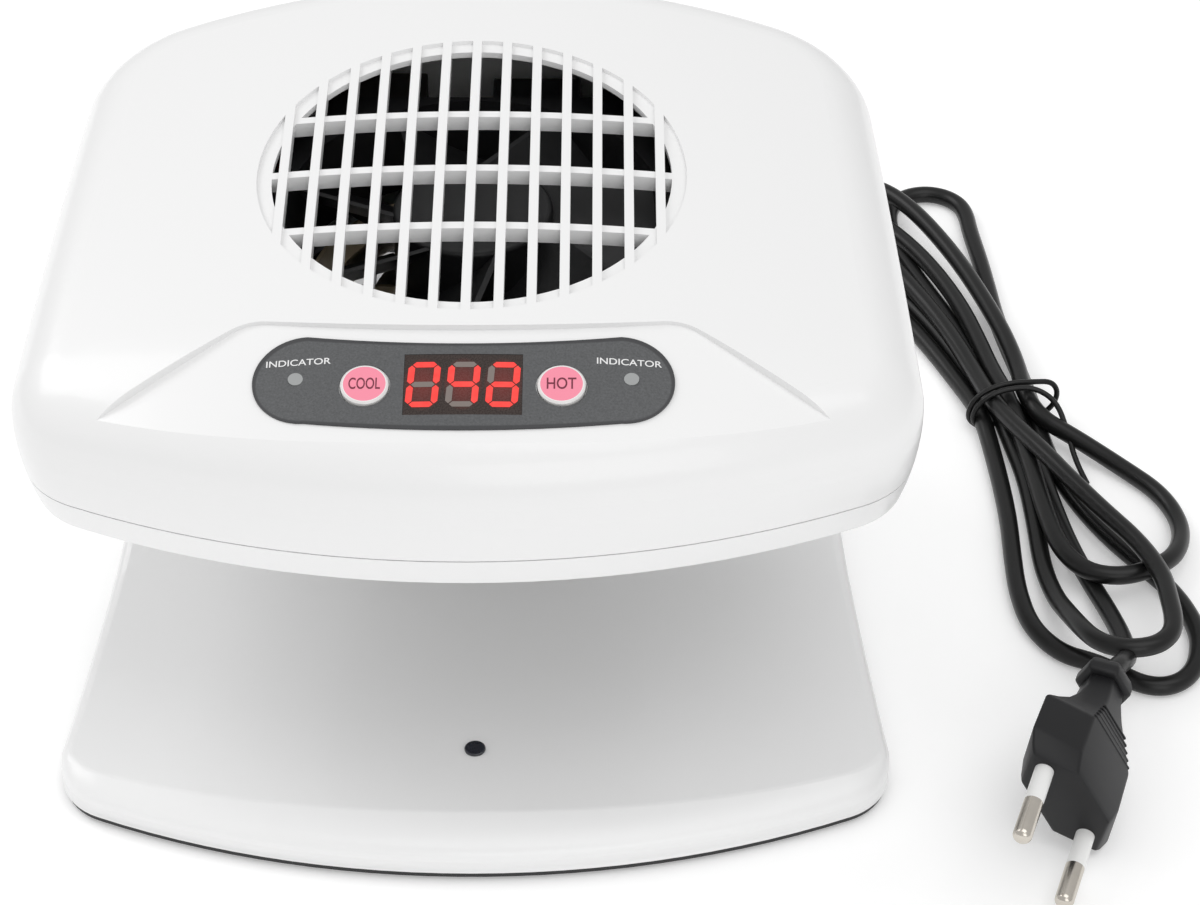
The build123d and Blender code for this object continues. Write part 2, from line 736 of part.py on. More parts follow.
def power_board():
    low = power_z
    board = block(-power_size[0] / 2, power_size[0] / 2, power_y - power_size[1] / 2,
                  power_y + power_size[1] / 2, low, low + board_thickness)
    corner = block(power_size[0] / 2 - 1, 90, power_y - 30, power_y + 30, low - 1, low + 4)
    board = board - corner
    for sx in (-1, 1):
        for sy in (-1, 1):
            x, y = sx * (power_size[0] / 2 - 4), power_y + sy * (power_size[1] / 2 - 4)
            board = board - cylinder(screw_radius + 0.1, low - 1, low + 4, x, y)
    return board


def power_screws():
    top = power_z + board_thickness
    return [headed_screw(sx * (power_size[0] / 2 - 4), power_y + sy * (power_size[1] / 2 - 4),
                         top, top + 1.5, tray_z + wall + 1.5)
            for sx in (-1, 1) for sy in (-1, 1)]


def transformer():
    core = power_box(20, 16, 15, -22, 0)
    bobbin = power_box(12, 19, 11, -22, 0)
    return fillet((core + bobbin).edges().filter_by(Axis.Z), 0.6)


def heater_relay():
    body = power_box(19, 15, 15, 12, -1)
    return fillet(body.edges().group_by(Axis.Z)[-1], 0.8)


def board_capacitors():
    top = power_z + board_thickness
    cans = [cylinder(5.0, top, top + 16, 30, power_y - 3), cylinder(3.2, top, top + 11, 38.6, power_y + 5)]
    return [fillet(can.edges().group_by(Axis.Z)[-1], 0.7) for can in cans]


def board_fuse():
    top = power_z + board_thickness
    return [Pos(-42, power_y - 3, top + 3) * Rot(90, 0, 0) * Cylinder(2.6, 16)]


def board_connectors():
    return [power_box(7.5, 5.0, 6.0, -4, -9.5), power_box(10, 5.6, 6.0, 2, 9.8)]


# ---------------------------------------------------------------- base sensor and fasteners
def sensor_lens():
    top = floor_height(sensor_y) + 0.1
    rim = cylinder(sensor_dia / 2, top, top + 0.5, 0, sensor_y)
    rim = fillet(rim.edges().group_by(Axis.Z)[-1], 0.3)
    return rim + cylinder(sensor_dia / 2 - 0.5, top - wall - 0.4, top, 0, sensor_y)


def sensor_board():
    under = floor_height(sensor_y) - wall - 0.6
    board = block(-9, 9, sensor_y - 6, sensor_y + 6, under - 1.0, under)
    chip = block(-1.5, 1.5, sensor_y - 1.2, sensor_y + 1.2, under, under + 0.2)
    return board + chip


def base_screws():
    return [headed_screw(x, y, foot_height + 0.05, foot_height + 0.75, body_bottom + 3.5)
            for x, y in base_boss_places()]


def cover_screws():
    return [headed_screw(x, y, tray_z - 1.4, tray_z, tray_z + 14) for x, y in cover_boss_places()]


# ---------------------------------------------------------------- cord, grommet and plug
def grommet():
    """Tapered strain relief with a flange each side of the rear wall."""
    start = base_back - wall - 1.6
    at = Plane(origin=(grommet_x, start, grommet_z), x_dir=(1, 0, 0), z_dir=(0, 1, 0))
    inner, neck, outer = 1.5, wall + 1.7, wall + 3.6
    end = wall + 1.6 + grommet_length
    steps = (
        (0.0, inner, 5.6, 5.59), (inner, neck, 4.1, 4.09), (neck, outer, 5.8, 5.4), (outer, end, 4.6, 3.1))
    seat = (Align.CENTER, Align.CENTER, Align.MIN)
    pieces = [at * Pos(0, 0, low) * Cone(r0, r1, high - low, align=seat) for low, high, r0, r1 in steps]
    return pieces[0] + pieces[1:]


cord_lead_points = [
    (grommet_x, base_back + grommet_length, grommet_z),
    (0.4, 120.0, 14.6),
    (4.5, 132.0, 9.0),
    (14.0, 142.5, 4.4),
    (29.0, 149.5, 2.6),
    (46.0, 153.5, 2.2),
    (64.0, 156.5, 2.6),
    (80.0, 157.5, 4.4),
    (91.0, 156.0, 6.2),
]
cord_tail_points = [
    (137.2, -4.0, 3.0),
    (138.8, -15.5, 5.6),
    (138.6, -25.5, 8.8),
    (135.3, -33.4, 15.6),
    collar_at,
]


def corner_radii(points):
    """0.45 of the shorter run over the tangent of half the turn, at each corner."""
    radii = []
    for a, b, c in zip(points, points[1:], points[2:]):
        u, w = Vector(*b) - Vector(*a), Vector(*c) - Vector(*b)
        half_turn = radians(u.get_angle(w)) / 2
        radii.append(0.45 * min(u.length, w.length) / tan(half_turn))
    return radii


def cord_tube(points, label):
    radii = corner_radii(points)
    path = FilletPolyline(*points, radius=radii)
    start = Plane(origin=points[0], z_dir=path % 0)
    solid = sweep(start * Circle(cord_dia / 2), path=path)
    print(label, "radii", [round(r, 1) for r in radii], "length", round(path.length, 1),
          "volume ratio", round(solid.volume / (path.length * pi * cord_dia ** 2 / 4), 4))
    return solid


hank_tie = (121.5, 66.0)
hank_lean = 15.0              # degrees that the tie is turned about Z


def cord_hank():
    """Outer shape of the tied hank: two fans of loops that meet at the tie."""
    edge = Spline(
        (80.0, 156.0), (104.0, 160.0), (121.0, 146.0), (125.0, 108.0), (129.0, 74.0), (149.0, 52.0),
        (160.0, 26.0), (158.0, -10.0), (147.0, -30.0), (124.0, -22.0), (114.0, 6.0), (114.0, 40.0),
        (112.0, 70.0), (98.0, 104.0), (80.0, 122.0), (72.0, 142.0), periodic=True)
    solid = extrude(make_face(Wire([edge])), 9.0)
    return fillet(solid.edges().group_by(Axis.Z)[-1], 3.0)


def cord_tie():
    outer = Pos(*hank_tie, 4.8) * Rot(0, 0, hank_lean) * Box(23.0, 4.0, 9.6)
    return outer - cord_hank()


def plug_place():
    """Local +Z runs out of the cord end towards the pins; local +X is along the pins' row."""
    turn, droop = radians(plug_turn), radians(plug_droop)
    ahead = Vector(sin(turn) * cos(droop), -cos(turn) * cos(droop), -sin(droop))
    flat = Vector(0, 0, 1).cross(ahead).normalized()
    frame = Plane(origin=collar_at, x_dir=flat, z_dir=ahead)
    return frame * Rot(0, 0, plug_roll)


def plug_body():
    """Six-sided body, narrow at the cord and widest just behind the pins."""
    at = plug_place()
    wide, deep = plug_width / 2, plug_depth / 2
    sections = (
        (0.0, 4.6, 3.7), (7.0, 5.2, 4.2), (11.0, 6.8, 5.0), (15.0, 9.6, 5.9), (18.5, 13.4, 6.5),
        (21.0, wide - 0.6, deep), (31.0, wide, deep), (34.5, wide - 1.6, deep - 0.1),
        (plug_length, wide - 2.8, deep - 0.3))
    faces = []
    for z, half_width, half_depth in sections:
        corners = [(half_width * x, half_depth * y) for x, y in (
            (1, 0), (0.5, 1), (-0.5, 1), (-1, 0), (-0.5, -1), (0.5, -1))]
        faces.append(at * Pos(0, 0, z) * make_face(Polyline(*corners, close=True)))
    return loft(faces, ruled=True)


def plug_pins():
    at = plug_place()
    solids = []
    for sx in (-1, 1):
        z = plug_length + sleeve_length
        pin = at * Pos(sx * pin_spacing / 2, 0, z) * Cylinder(
            pin_radius, pin_length - sleeve_length, align=(Align.CENTER, Align.CENTER, Align.MIN))
        solids.append(pin)
    return solids


def plug_sleeves():
    at = plug_place()
    return [at * Pos(sx * pin_spacing / 2, 0, plug_length) * Cylinder(
        pin_radius - 0.1, sleeve_length, align=(Align.CENTER, Align.CENTER, Align.MIN)) for sx in (-1, 1)]


def build():
    os.makedirs("parts", exist_ok=True)
    save("top_cover", top_cover())
    save("main_body", main_body())
    save("bottom_plate", bottom_plate())
    save("rubber_feet", *rubber_feet())
    save("panel_overlay", panel_overlay())
    save("display_window", display_window())
    save("display_module", display_module())
    save("lamp_lenses", *lamp_lenses())
    save("lamp_chips", *lamp_chips())
    save("control_board", control_board())
    save("control_board_screws", *control_screws())
    save("tact_switches", *tact_switches())
    for name, x in (("cool", -button_x), ("hot", button_x)):
        save(name + "_button", button_cap(x))
        save(name + "_button_face", button_face(x))
        save(name + "_plunger", button_plunger(x))
    save("fan_frame", fan_frame())
    save("fan_bearing", fan_bearing())
    save("fan_stator", fan_stator())
    save("fan_shaft", fan_shaft())
    save("fan_rotor", fan_rotor())
    save("fan_screws", *fan_screws())
    save("outlet_grille", outlet_grille())
    save("heater_frame", heater_frame())
    save("heater_coils", *heater_coils())
    save("thermal_cutout", thermal_cutout())
    save("power_board", power_board())
    save("power_board_screws", *power_screws())
    save("transformer", transformer())
    save("heater_relay", heater_relay())
    save("board_capacitors", *board_capacitors())
    save("board_fuse", *board_fuse())
    save("board_connectors", *board_connectors())
    save("sensor_lens", sensor_lens())
    save("sensor_board", sensor_board())
    save("base_screws", *base_screws())
    save("cover_screws", *cover_screws())
    save("cord_grommet", grommet())
    save("mains_cord", cord_tube(cord_lead_points, "lead"))
    save("cord_hank", cord_hank())
    save("cord_tail", cord_tube(cord_tail_points, "tail"))
    save("cord_tie", cord_tie())
    save("plug_body", plug_body())
    save("plug_sleeves", *plug_sleeves())
    save("plug_pins", *plug_pins())


build()
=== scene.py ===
# %% [markdown]
# # A hot and cool air nail dryer
# The maker's drawing comes first: every moulding, board, screw and shaft is loaded from it, in metres,
# with the origin on the table under the middle of the body. This lesson adds what the drawing leaves
# plain: smooth glossy mouldings, a printed panel with a lit display, and a tied mains lead.

# %% Load the frame
import math
import bmesh
import bpy
from mathutils import Matrix, Vector


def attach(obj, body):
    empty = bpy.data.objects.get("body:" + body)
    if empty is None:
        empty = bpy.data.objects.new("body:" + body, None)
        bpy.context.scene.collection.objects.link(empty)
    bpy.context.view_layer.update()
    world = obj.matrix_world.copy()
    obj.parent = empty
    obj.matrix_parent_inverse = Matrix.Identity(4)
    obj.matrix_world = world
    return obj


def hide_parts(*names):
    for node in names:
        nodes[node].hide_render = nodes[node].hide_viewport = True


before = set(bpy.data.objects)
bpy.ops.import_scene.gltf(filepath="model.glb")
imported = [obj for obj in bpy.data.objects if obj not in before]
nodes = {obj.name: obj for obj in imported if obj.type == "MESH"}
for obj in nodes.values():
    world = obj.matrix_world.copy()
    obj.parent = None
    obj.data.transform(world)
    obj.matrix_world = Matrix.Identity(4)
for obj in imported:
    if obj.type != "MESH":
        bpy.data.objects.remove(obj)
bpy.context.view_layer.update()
MM = 0.001

# %% [markdown]
# ## Camera
# The dryer is seen from the front and well above, through a long lens, so its upright edges hardly
# converge. The camera stands a little to the right, because the tied lead lies on that side. A rotation
# matrix is built from three turns, which is easier to read than one set of Euler angles.

# %% Camera
camera_data = bpy.data.cameras.new("camera")
camera = bpy.data.objects.new("camera", camera_data)
bpy.context.scene.collection.objects.link(camera)
bpy.context.scene.camera = camera
camera_data.sensor_width = 36
camera_data.lens = 101.1
look_down, heading, roll = math.radians(39), math.radians(0.15), math.radians(-0.12)
turn = (Matrix.Rotation(heading, 4, "Z") @ Matrix.Rotation(math.pi / 2 - look_down, 4, "X")
        @ Matrix.Rotation(roll, 4, "Z"))
camera.matrix_world = Matrix.Translation(Vector((27.28, -558.4, 495.85)) * MM) @ turn
camera_data.clip_start, camera_data.clip_end = 0.01, 20
print("camera at", [round(c, 3) for c in camera.location], "lens", camera_data.lens)

# %% [markdown]
# ## Helpers for shaping
# An operator acts on all that is selected, and the loaded nodes arrive selected, so each piece starts
# by deselecting everything. `take` makes one object the only selected and active one.

# %% Selection helpers
def take(*objects):
    bpy.ops.object.select_all(action="DESELECT")
    for o in objects:
        o.select_set(True)
    bpy.context.view_layer.objects.active = objects[0]
    return objects[0]


def new_piece(name):
    """Name the primitive that was just added."""
    piece = bpy.context.object
    piece.name = name
    piece.data.name = name
    return piece


def settle(piece):
    """Put the piece's place, turn and size into its mesh."""
    take(piece)
    bpy.ops.object.transform_apply(location=True, rotation=True, scale=True)
    return piece


def modify(piece, kind, **settings):
    """Add a modifier, set it and apply it."""
    take(piece)
    modifier = piece.modifiers.new(kind.lower(), kind)
    for key, value in settings.items():
        setattr(modifier, key, value)
    bpy.ops.object.modifier_apply(modifier=modifier.name)
    return piece


def smooth(piece, degrees=35):
    take(piece)
    bpy.ops.object.shade_smooth_by_angle(angle=math.radians(degrees))
    return piece


def turned(piece, matrix):
    """Place a finished mesh; its object stays at the origin."""
    piece.data.transform(matrix)
    piece.data.update()
    return piece


def place(x, y, z):
    return Matrix.Translation(Vector((x, y, z)) * MM)


def mm(*values):
    return Vector(values) * MM


print("helpers ready")

# %% [markdown]
# ## The mains lead
# One cord leaves the back of the body, comes round behind it and is folded into a loose hank: seven
# strands pass under the tie, with three folds behind it and three in front, and the last strand ends in
# the plug. A NURBS curve of order 3 follows the points smoothly and cuts inside their corners, as a
# springy cord does. The points are written in millimetres. A strand that crosses over another is one
# cord's thickness higher there.

# %% The lead's route
cord_diameter = 4.2
lead_in = [
    (0, 106, 16), (0.4, 120, 14.6), (4.5, 132, 9), (14, 142.5, 4.4), (29, 149.5, 2.6), (46, 153.5, 2.2),
    (64, 156.5, 2.6), (80, 157.5, 4.4), (91, 156, 6.2), (98.5, 151, 7.2), (104.8, 142, 7.4),
    (110.6, 130, 7.2), (115.6, 117.5, 6.8), (119.8, 104, 6.5), (123.2, 91, 6.3), (125.2, 79, 6.1),
]
# Folds in front of the tie, each from the strand that leaves the tie to the one that comes back.
fold_right = [
    (128.6, 59, 6.2), (136, 54, 4.6), (146, 45.5, 2.6), (154.5, 36, 2.1), (157.6, 24, 2.4),
    (154.6, 11.5, 5), (148, 4.8, 6.6), (140.5, 2, 6.6), (133, 4, 6.5), (128.2, 12, 6.3), (126.4, 25, 6),
    (125.2, 39, 5.9), (123.6, 53, 6),
]
fold_centre = [
    (121.6, 55, 2.2), (123.8, 42, 2.1), (124.5, 26, 2.1), (124.5, 11, 2.1), (126, -1, 3.4),
    (127.8, -10, 6.6), (129.6, -18.4, 9.8), (131.6, -24, 11.6), (135, -27.6, 12.8), (139.6, -28.8, 13.4),
    (144.3, -27.6, 13.4), (147.6, -24.2, 13.2), (149, -19.2, 12.9), (149, -11.6, 12.2), (148.8, -2, 11.2),
    (145, 9.5, 10.6), (139, 19.5, 10.4), (132.8, 30.5, 10.4), (127.4, 41.5, 10.2), (121.8, 53.5, 8.6),
]
fold_outer = [
    (117, 52, 2.1), (117.9, 40, 2.1), (118.5, 27, 2.1), (118.2, 14, 2.1), (118.2, 2, 2.1),
    (120, -9.5, 2.1), (125.6, -18, 2.1), (132.6, -20.8, 2.1), (137.8, -24.6, 2.1), (142.4, -28, 2.1),
    (147.4, -28.6, 2.1), (152, -26, 2.1), (155.2, -20.4, 2.1), (156.6, -11, 2.1), (153.4, 1, 2.1),
    (147, 11, 2.1), (140.4, 21, 2.1), (134.6, 33, 2.1), (130.6, 46, 2.1), (128.8, 57, 2.2),
]
# Folds behind the tie.
fold_far = [
    (118.8, 78, 6), (116.6, 90, 5.9), (114, 102, 5.8), (110.2, 114, 5.6), (105.2, 126, 5.3),
    (98.8, 137.5, 4.6), (93, 145.4, 3.8), (87.6, 149.6, 3), (81.8, 150.6, 2.4), (76.2, 148, 2.1),
    (73.2, 142.6, 2.1), (74.2, 136.6, 2.1), (78.6, 131.8, 2.1), (85, 127.6, 2.1), (92.4, 122, 2.1),
    (99.8, 113.2, 2.1), (106, 101.5, 2.1), (110.8, 90, 2.1), (115, 78, 2.1),
]
fold_near = [
    (114.6, 77, 6), (111.2, 89, 5.9), (107, 100.5, 5.9), (101.8, 111.5, 6.2), (96.8, 122, 6.5),
    (91.5, 133, 6.6), (90.7, 138, 6.7), (88.6, 142.1, 6.7), (84.9, 144.7, 6.7), (80.5, 145.1, 6.7),
    (76.4, 143.2, 6.6), (73.8, 139.5, 6.6), (73.3, 135, 6.6), (75.2, 130.2, 6.4), (79, 125.6, 5.6),
    (84.6, 121, 4.2), (90.8, 115.2, 2.6), (97, 108, 2.1), (102.3, 98.6, 2.1), (106.6, 89, 2.1),
    (110.6, 79, 2.1),
]
fold_small = [
    (126.4, 80, 2.1), (124.2, 92, 2.1), (122.4, 104, 2.1), (121.6, 116, 2.1), (120.6, 128, 2.1),
    (119.2, 140, 2.1), (118.9, 147, 2.1), (117.6, 151.9, 2.1), (114, 155.6, 2.1), (109.1, 157, 2.1),
    (104.1, 155.6, 2.1), (100.5, 151.9, 2.1), (99.1, 147, 2.1), (99.2, 140.4, 2.1), (100.6, 132, 2.1),
    (103.6, 122.5, 2.1), (107.4, 112.5, 2.1), (111.6, 101.5, 2.1), (115.4, 90, 2.1), (119.2, 78, 2.1),
]
tail_out = [
    (125.8, 54, 2.1), (127.8, 42, 2.1), (129.4, 30, 2.1), (131.4, 18, 2.1), (134.4, 6, 2.2),
    (137.2, -5, 3.2), (138.6, -15, 5.4), (138.9, -22.5, 7.4), (138, -28.6, 10.4), (136.2, -34, 14.6),
    (134, -38.4, 17), (131.2, -42.5, 17.7),
]
tie_centre = Vector((121.5, 66, 0))
tie_across = Vector((0.966, 0.26, 0))


def under_tie(row, place_in_row):
    """Where a strand passes the tie: four lie on the table and three on top of them."""
    in_row, height = ((4, 3.4), (3, 7.2))[row]
    from_middle = place_in_row - (in_row - 1) / 2
    return tuple(tie_centre + tie_across * cord_diameter * from_middle + Vector((0, 0, height)))


order = [
    (lead_in, (1, 2)), (fold_right, (1, 1)), (fold_far, (0, 1)), (fold_centre, (1, 0)),
    (fold_near, (0, 0)), (fold_outer, (0, 3)), (fold_small, (0, 2)),
]
route = [point for points, slot in order for point in (*points, under_tie(*slot))] + tail_out
print("the route has", len(route), "points")

# %% [markdown]
# The curve gets its thickness from a round bevel, so it stays one curve whose line can be measured.
# `new_from_object` on a copy without a bevel gives the line's points.

# %% The lead itself
# A curve's bounding box grows by its points' radius, and its bevel is multiplied by it.
thin = cord_diameter / 2 * MM


def nurbs(name, points, radius=0.0, resolution=8):
    """A smooth open curve through a list of places in millimetres."""
    data = bpy.data.curves.new(name, "CURVE")
    data.dimensions = "3D"
    line = data.splines.new("NURBS")
    line.points.add(len(points) - 1)
    for spot, point in zip(line.points, points):
        spot.co = (*mm(*point), 1)
        spot.radius = thin
    line.order_u = 3
    line.use_endpoint_u = True
    line.resolution_u = resolution
    data.bevel_depth = radius * MM / thin
    data.bevel_resolution = 6
    data.use_fill_caps = True
    curve = bpy.data.objects.new(name, data)
    bpy.context.scene.collection.objects.link(curve)
    return curve


def line_of(name, points, resolution=8):
    """The points that a curve without thickness passes through, in metres."""
    probe = nurbs(name, points, 0.0, resolution)
    mesh = bpy.data.meshes.new_from_object(probe)
    spots = [v.co.copy() for v in mesh.vertices]
    bpy.data.objects.remove(probe)
    bpy.data.meshes.remove(mesh)
    return spots


cord = nurbs("mains_lead", route, cord_diameter / 2)
spots = line_of("probe", route)

# %% [markdown]
# ## Shader maths as plain sums
# A finish is a small net of nodes. Wiring each Math node by hand hides the idea, so a `Wire` wraps a
# socket and its operators add the nodes: `1 - mask * 0.2` then reads as it is written. Every other node
# comes from one method, `node`, that takes the settings first and the inputs after them.

# %% A wire and its sums
class Wire:
    """A value that runs along a material's wires."""

    def __init__(self, tree, socket):
        self.tree, self.socket = tree, socket

    def sum_of(self, operation, first, second=None):
        maths = self.tree.nodes.new("ShaderNodeMath")
        maths.operation = operation
        for spot, term in zip(maths.inputs, (first, second)):
            feed(self.tree, spot, term)
        return Wire(self.tree, maths.outputs[0])

    def __add__(self, other):
        return self.sum_of("ADD", self, other)

    def __sub__(self, other):
        return self.sum_of("SUBTRACT", self, other)

    def __rsub__(self, other):
        return self.sum_of("SUBTRACT", other, self)

    def __mul__(self, other):
        return self.sum_of("MULTIPLY", self, other)

    def __pow__(self, other):
        return self.sum_of("POWER", self, other)

    def __gt__(self, other):
        return self.sum_of("GREATER_THAN", self, other)

    def __abs__(self):
        return self.sum_of("ABSOLUTE", self)

    def most(self, other):
        return self.sum_of("MAXIMUM", self, other)

    def least(self, other):
        return self.sum_of("MINIMUM", self, other)

    __radd__, __rmul__ = __add__, __mul__


def feed(tree, spot, value):
    """Link a wire to an input, or set the input to a number or colour."""
    if isinstance(value, Wire):
        tree.links.new(value.socket, spot)
    elif value is not None:
        spot.default_value = value


print("shader sums ready")

# %% A finish
class Finish:
    """One material, built round a Principled shader."""

    def __init__(self, name, **constants):
        self.material = bpy.data.materials.new(name)
        self.material.use_nodes = True
        self.tree = self.material.node_tree
        self.shader = self.tree.nodes["Principled BSDF"]
        self.set(**constants)

    def set(self, **inputs):
        """Inputs are named as on the shader, with underlines for spaces."""
        for key, value in inputs.items():
            if isinstance(value, tuple) and len(value) == 3 and "Normal" not in key:
                value = (*value, 1)
            feed(self.tree, self.shader.inputs[key.replace("_", " ")], value)

    def node(self, kind, settings=(), output=0, **inputs):
        made = self.tree.nodes.new("ShaderNode" + kind)
        for key, value in dict(settings).items():
            setattr(made, key, value)
        for key, value in inputs.items():
            numbered = key[0] == "i" and key[1:].isdigit()
            feed(self.tree, made.inputs[int(key[1:]) if numbered else key.replace("_", " ")], value)
        return Wire(self.tree, made.outputs[output])

    def places(self):
        """Object coordinates in millimetres, as three wires."""
        spot = self.node("TexCoord", output=3)
        cut = self.tree.nodes.new("ShaderNodeSeparateXYZ")
        feed(self.tree, cut.inputs[0], spot)
        return [Wire(self.tree, out) * 1000.0 for out in cut.outputs]

    def noise(self, scale, detail=2.0, roughness=0.5, stretch=(1, 1, 1)):
        """Cloudy noise; scale is in cycles a metre."""
        spot = self.node("Mapping", Vector=self.node("TexCoord", output=3), Scale=stretch)
        return self.node("TexNoise", Vector=spot, Scale=scale, Detail=detail, Roughness=roughness)

    def blend(self, mask, low, high):
        """A colour that goes from low to high as the mask goes from 0 to 1."""
        low, high = ((*c, 1) if isinstance(c, tuple) else c for c in (low, high))
        return self.node("Mix", {"data_type": "RGBA"}, output=2, i0=mask, i6=low, i7=high)

    def bump(self, height, depth_mm, strength=1.0):
        self.set(Normal=self.node("Bump", Height=height, Distance=depth_mm * MM, Strength=strength))


def shade(colour, factor):
    return tuple(min(1.0, c * factor) for c in colour)


print("finishes ready")

# %% [markdown]
# ## Moulded plastics
# Every plastic here came out of a mould. What tells them apart is colour, gloss and the mould's own
# texture: polished for the white case, finely spark-eroded for the black fan and the plug, soft and
# slightly waxy for the cord. One function makes them all, from a few measures.

# %% Plastics
def moulded(name, colour, roughness, grain=900, grain_depth=0.004, drift=0.02, coat=0.0, spread=0.05, **more):
    """Plastic with a grain of its own: cycles a metre, and depth in millimetres."""
    finish = Finish(name, Coat_Roughness=0.12, **more)
    clouds = finish.noise(35, 3)
    finish.set(Base_Color=finish.blend(clouds, shade(colour, 1 - drift), shade(colour, 1 + drift)))
    fine = finish.noise(grain, 3, 0.6)
    finish.set(Roughness=(roughness - spread / 2) + clouds * spread + fine * 0.04, Coat_Weight=coat)
    finish.bump(fine, grain_depth)
    return finish


white = moulded("white_gloss_abs", (0.845, 0.845, 0.845), 0.30, 300, 0.0004, 0.001, 0.3, 0.004)
black_fan = moulded("black_fan_plastic", (0.012, 0.012, 0.013), 0.42, 2600, 0.010, 0.10)
cord_skin = moulded("black_cord_vinyl", (0.009, 0.009, 0.009), 0.30, 1500, 0.004, 0.08,
                    Specular_IOR_Level=0.3)
plug_skin = moulded("black_plug_vinyl", (0.010, 0.010, 0.011), 0.42, 3200, 0.010, 0.10,
                    Specular_IOR_Level=0.3)
rubber = moulded("black_rubber", (0.018, 0.018, 0.018), 0.75, 2500, 0.02, 0.10)
plate_skin = moulded("black_base_plate", (0.016, 0.016, 0.017), 0.5, 2800, 0.012, 0.08)
key_white = moulded("key_white", (0.82, 0.81, 0.80), 0.30, 800, 0.002, 0.01, 0.2)
key_pink = moulded("key_pink", (0.90, 0.27, 0.37), 0.42, 1800, 0.003, 0.03)
sleeve_white = moulded("pin_sleeve_white", (0.83, 0.83, 0.82), 0.35, 900, 0.002, 0.01, 0.1)
lens_grey = moulded("lamp_lens", (0.33, 0.34, 0.34), 0.22, 700, 0.004, 0.05, 0.5)
print("plastics:", [m.name for m in bpy.data.materials if m.users == 0][:12])

# %% [markdown]
# ## Metals, mica and boards
# Metal needs full Metallic and a roughness that varies along the way it was worked: turned pins have
# fine rings, drawn wire has streaks. A circuit board is green lacquer over copper tracks, and the tracks
# show through as slightly lighter lines.

# %% Metals and boards
def worked_metal(name, colour, roughness, stretch=(1, 1, 12), scale=500, depth=0.003):
    finish = Finish(name, Metallic=1.0)
    streaks = finish.noise(scale, 4, 0.6, stretch)
    finish.set(Base_Color=finish.blend(streaks, shade(colour, 0.9), shade(colour, 1.05)),
               Roughness=roughness + streaks * 0.12)
    finish.bump(streaks, depth)
    return finish


def circuit_board(name, colour):
    finish = Finish(name, Coat_Weight=0.5)
    x, y, _ = finish.places()
    tracks = finish.node("TexWave", {"wave_type": "BANDS", "bands_direction": "DIAGONAL"}, output=1,
                         Vector=finish.node("TexCoord", output=3), Scale=260.0, Distortion=6.0, Detail=1.0)
    on_track = tracks > 0.62
    finish.set(Base_Color=finish.blend(on_track, colour, shade(colour, 1.7)), Roughness=0.38 - on_track * 0.1)
    finish.bump(on_track, 0.03)
    return finish


nickel = worked_metal("nickel_pin", (0.62, 0.58, 0.52), 0.16, (1, 1, 1), 300)
steel = worked_metal("zinc_steel", (0.55, 0.55, 0.56), 0.28)
shaft_steel = worked_metal("ground_steel", (0.62, 0.62, 0.63), 0.18)
brass = worked_metal("sintered_brass", (0.68, 0.50, 0.22), 0.40, (1, 1, 1), 3000, 0.02)
copper = worked_metal("wound_copper", (0.72, 0.33, 0.16), 0.32, (1, 1, 30), 900, 0.05)
heating_wire = worked_metal("heating_wire", (0.42, 0.38, 0.34), 0.38, (1, 1, 4), 4000, 0.06)
board_green = circuit_board("circuit_board", (0.012, 0.085, 0.04))
mica = moulded("mica_sheet", (0.52, 0.43, 0.30), 0.35, 600, 0.03, 0.18, 0.4)
relay_black = moulded("relay_black", (0.02, 0.02, 0.022), 0.35)
tape_dark = moulded("transformer_tape", (0.03, 0.026, 0.022), 0.42, 600, 0.01, 0.06)
can_black = moulded("capacitor_sleeve", (0.02, 0.022, 0.03), 0.25, 500, 0.002, 0.08, 0.4)
fuse_red = moulded("fuse_sleeve", (0.42, 0.03, 0.03), 0.35)
connector_white = moulded("connector_nylon", (0.66, 0.64, 0.57), 0.48)
epoxy = moulded("module_epoxy", (0.05, 0.05, 0.05), 0.4)
chip_yellow = moulded("lamp_chip", (0.7, 0.62, 0.3), 0.3)
print("materials so far", len(bpy.data.materials))

# %% [markdown]
# ## The panel's film and the display
# The film is a printed sheet: dark grey with a fine sparkle, and a darker line just inside its edge. The
# line follows the outline, so its mask is the distance to that outline: `up` is measured along the slope
# from the bowed middle line, and `past_middle` is how far a place lies into a rounded end.

# %% Panel measures
panel_tilt = math.radians(15)
panel_middle = (0.0, -53.6, 103.5)
crown_radius = 390.0
panel_half, panel_round, panel_arch = 40.3, 10.2, 190.0


def on_panel(x, up, out=0.0):
    """A place in millimetres: x across, up along the slope, out from the console's crowned surface."""
    sag = crown_radius - math.sqrt(crown_radius ** 2 - x ** 2)
    return Vector((x, panel_middle[1] + up * math.cos(panel_tilt) - out * math.sin(panel_tilt),
                   panel_middle[2] + up * math.sin(panel_tilt) + out * math.cos(panel_tilt) - sag))


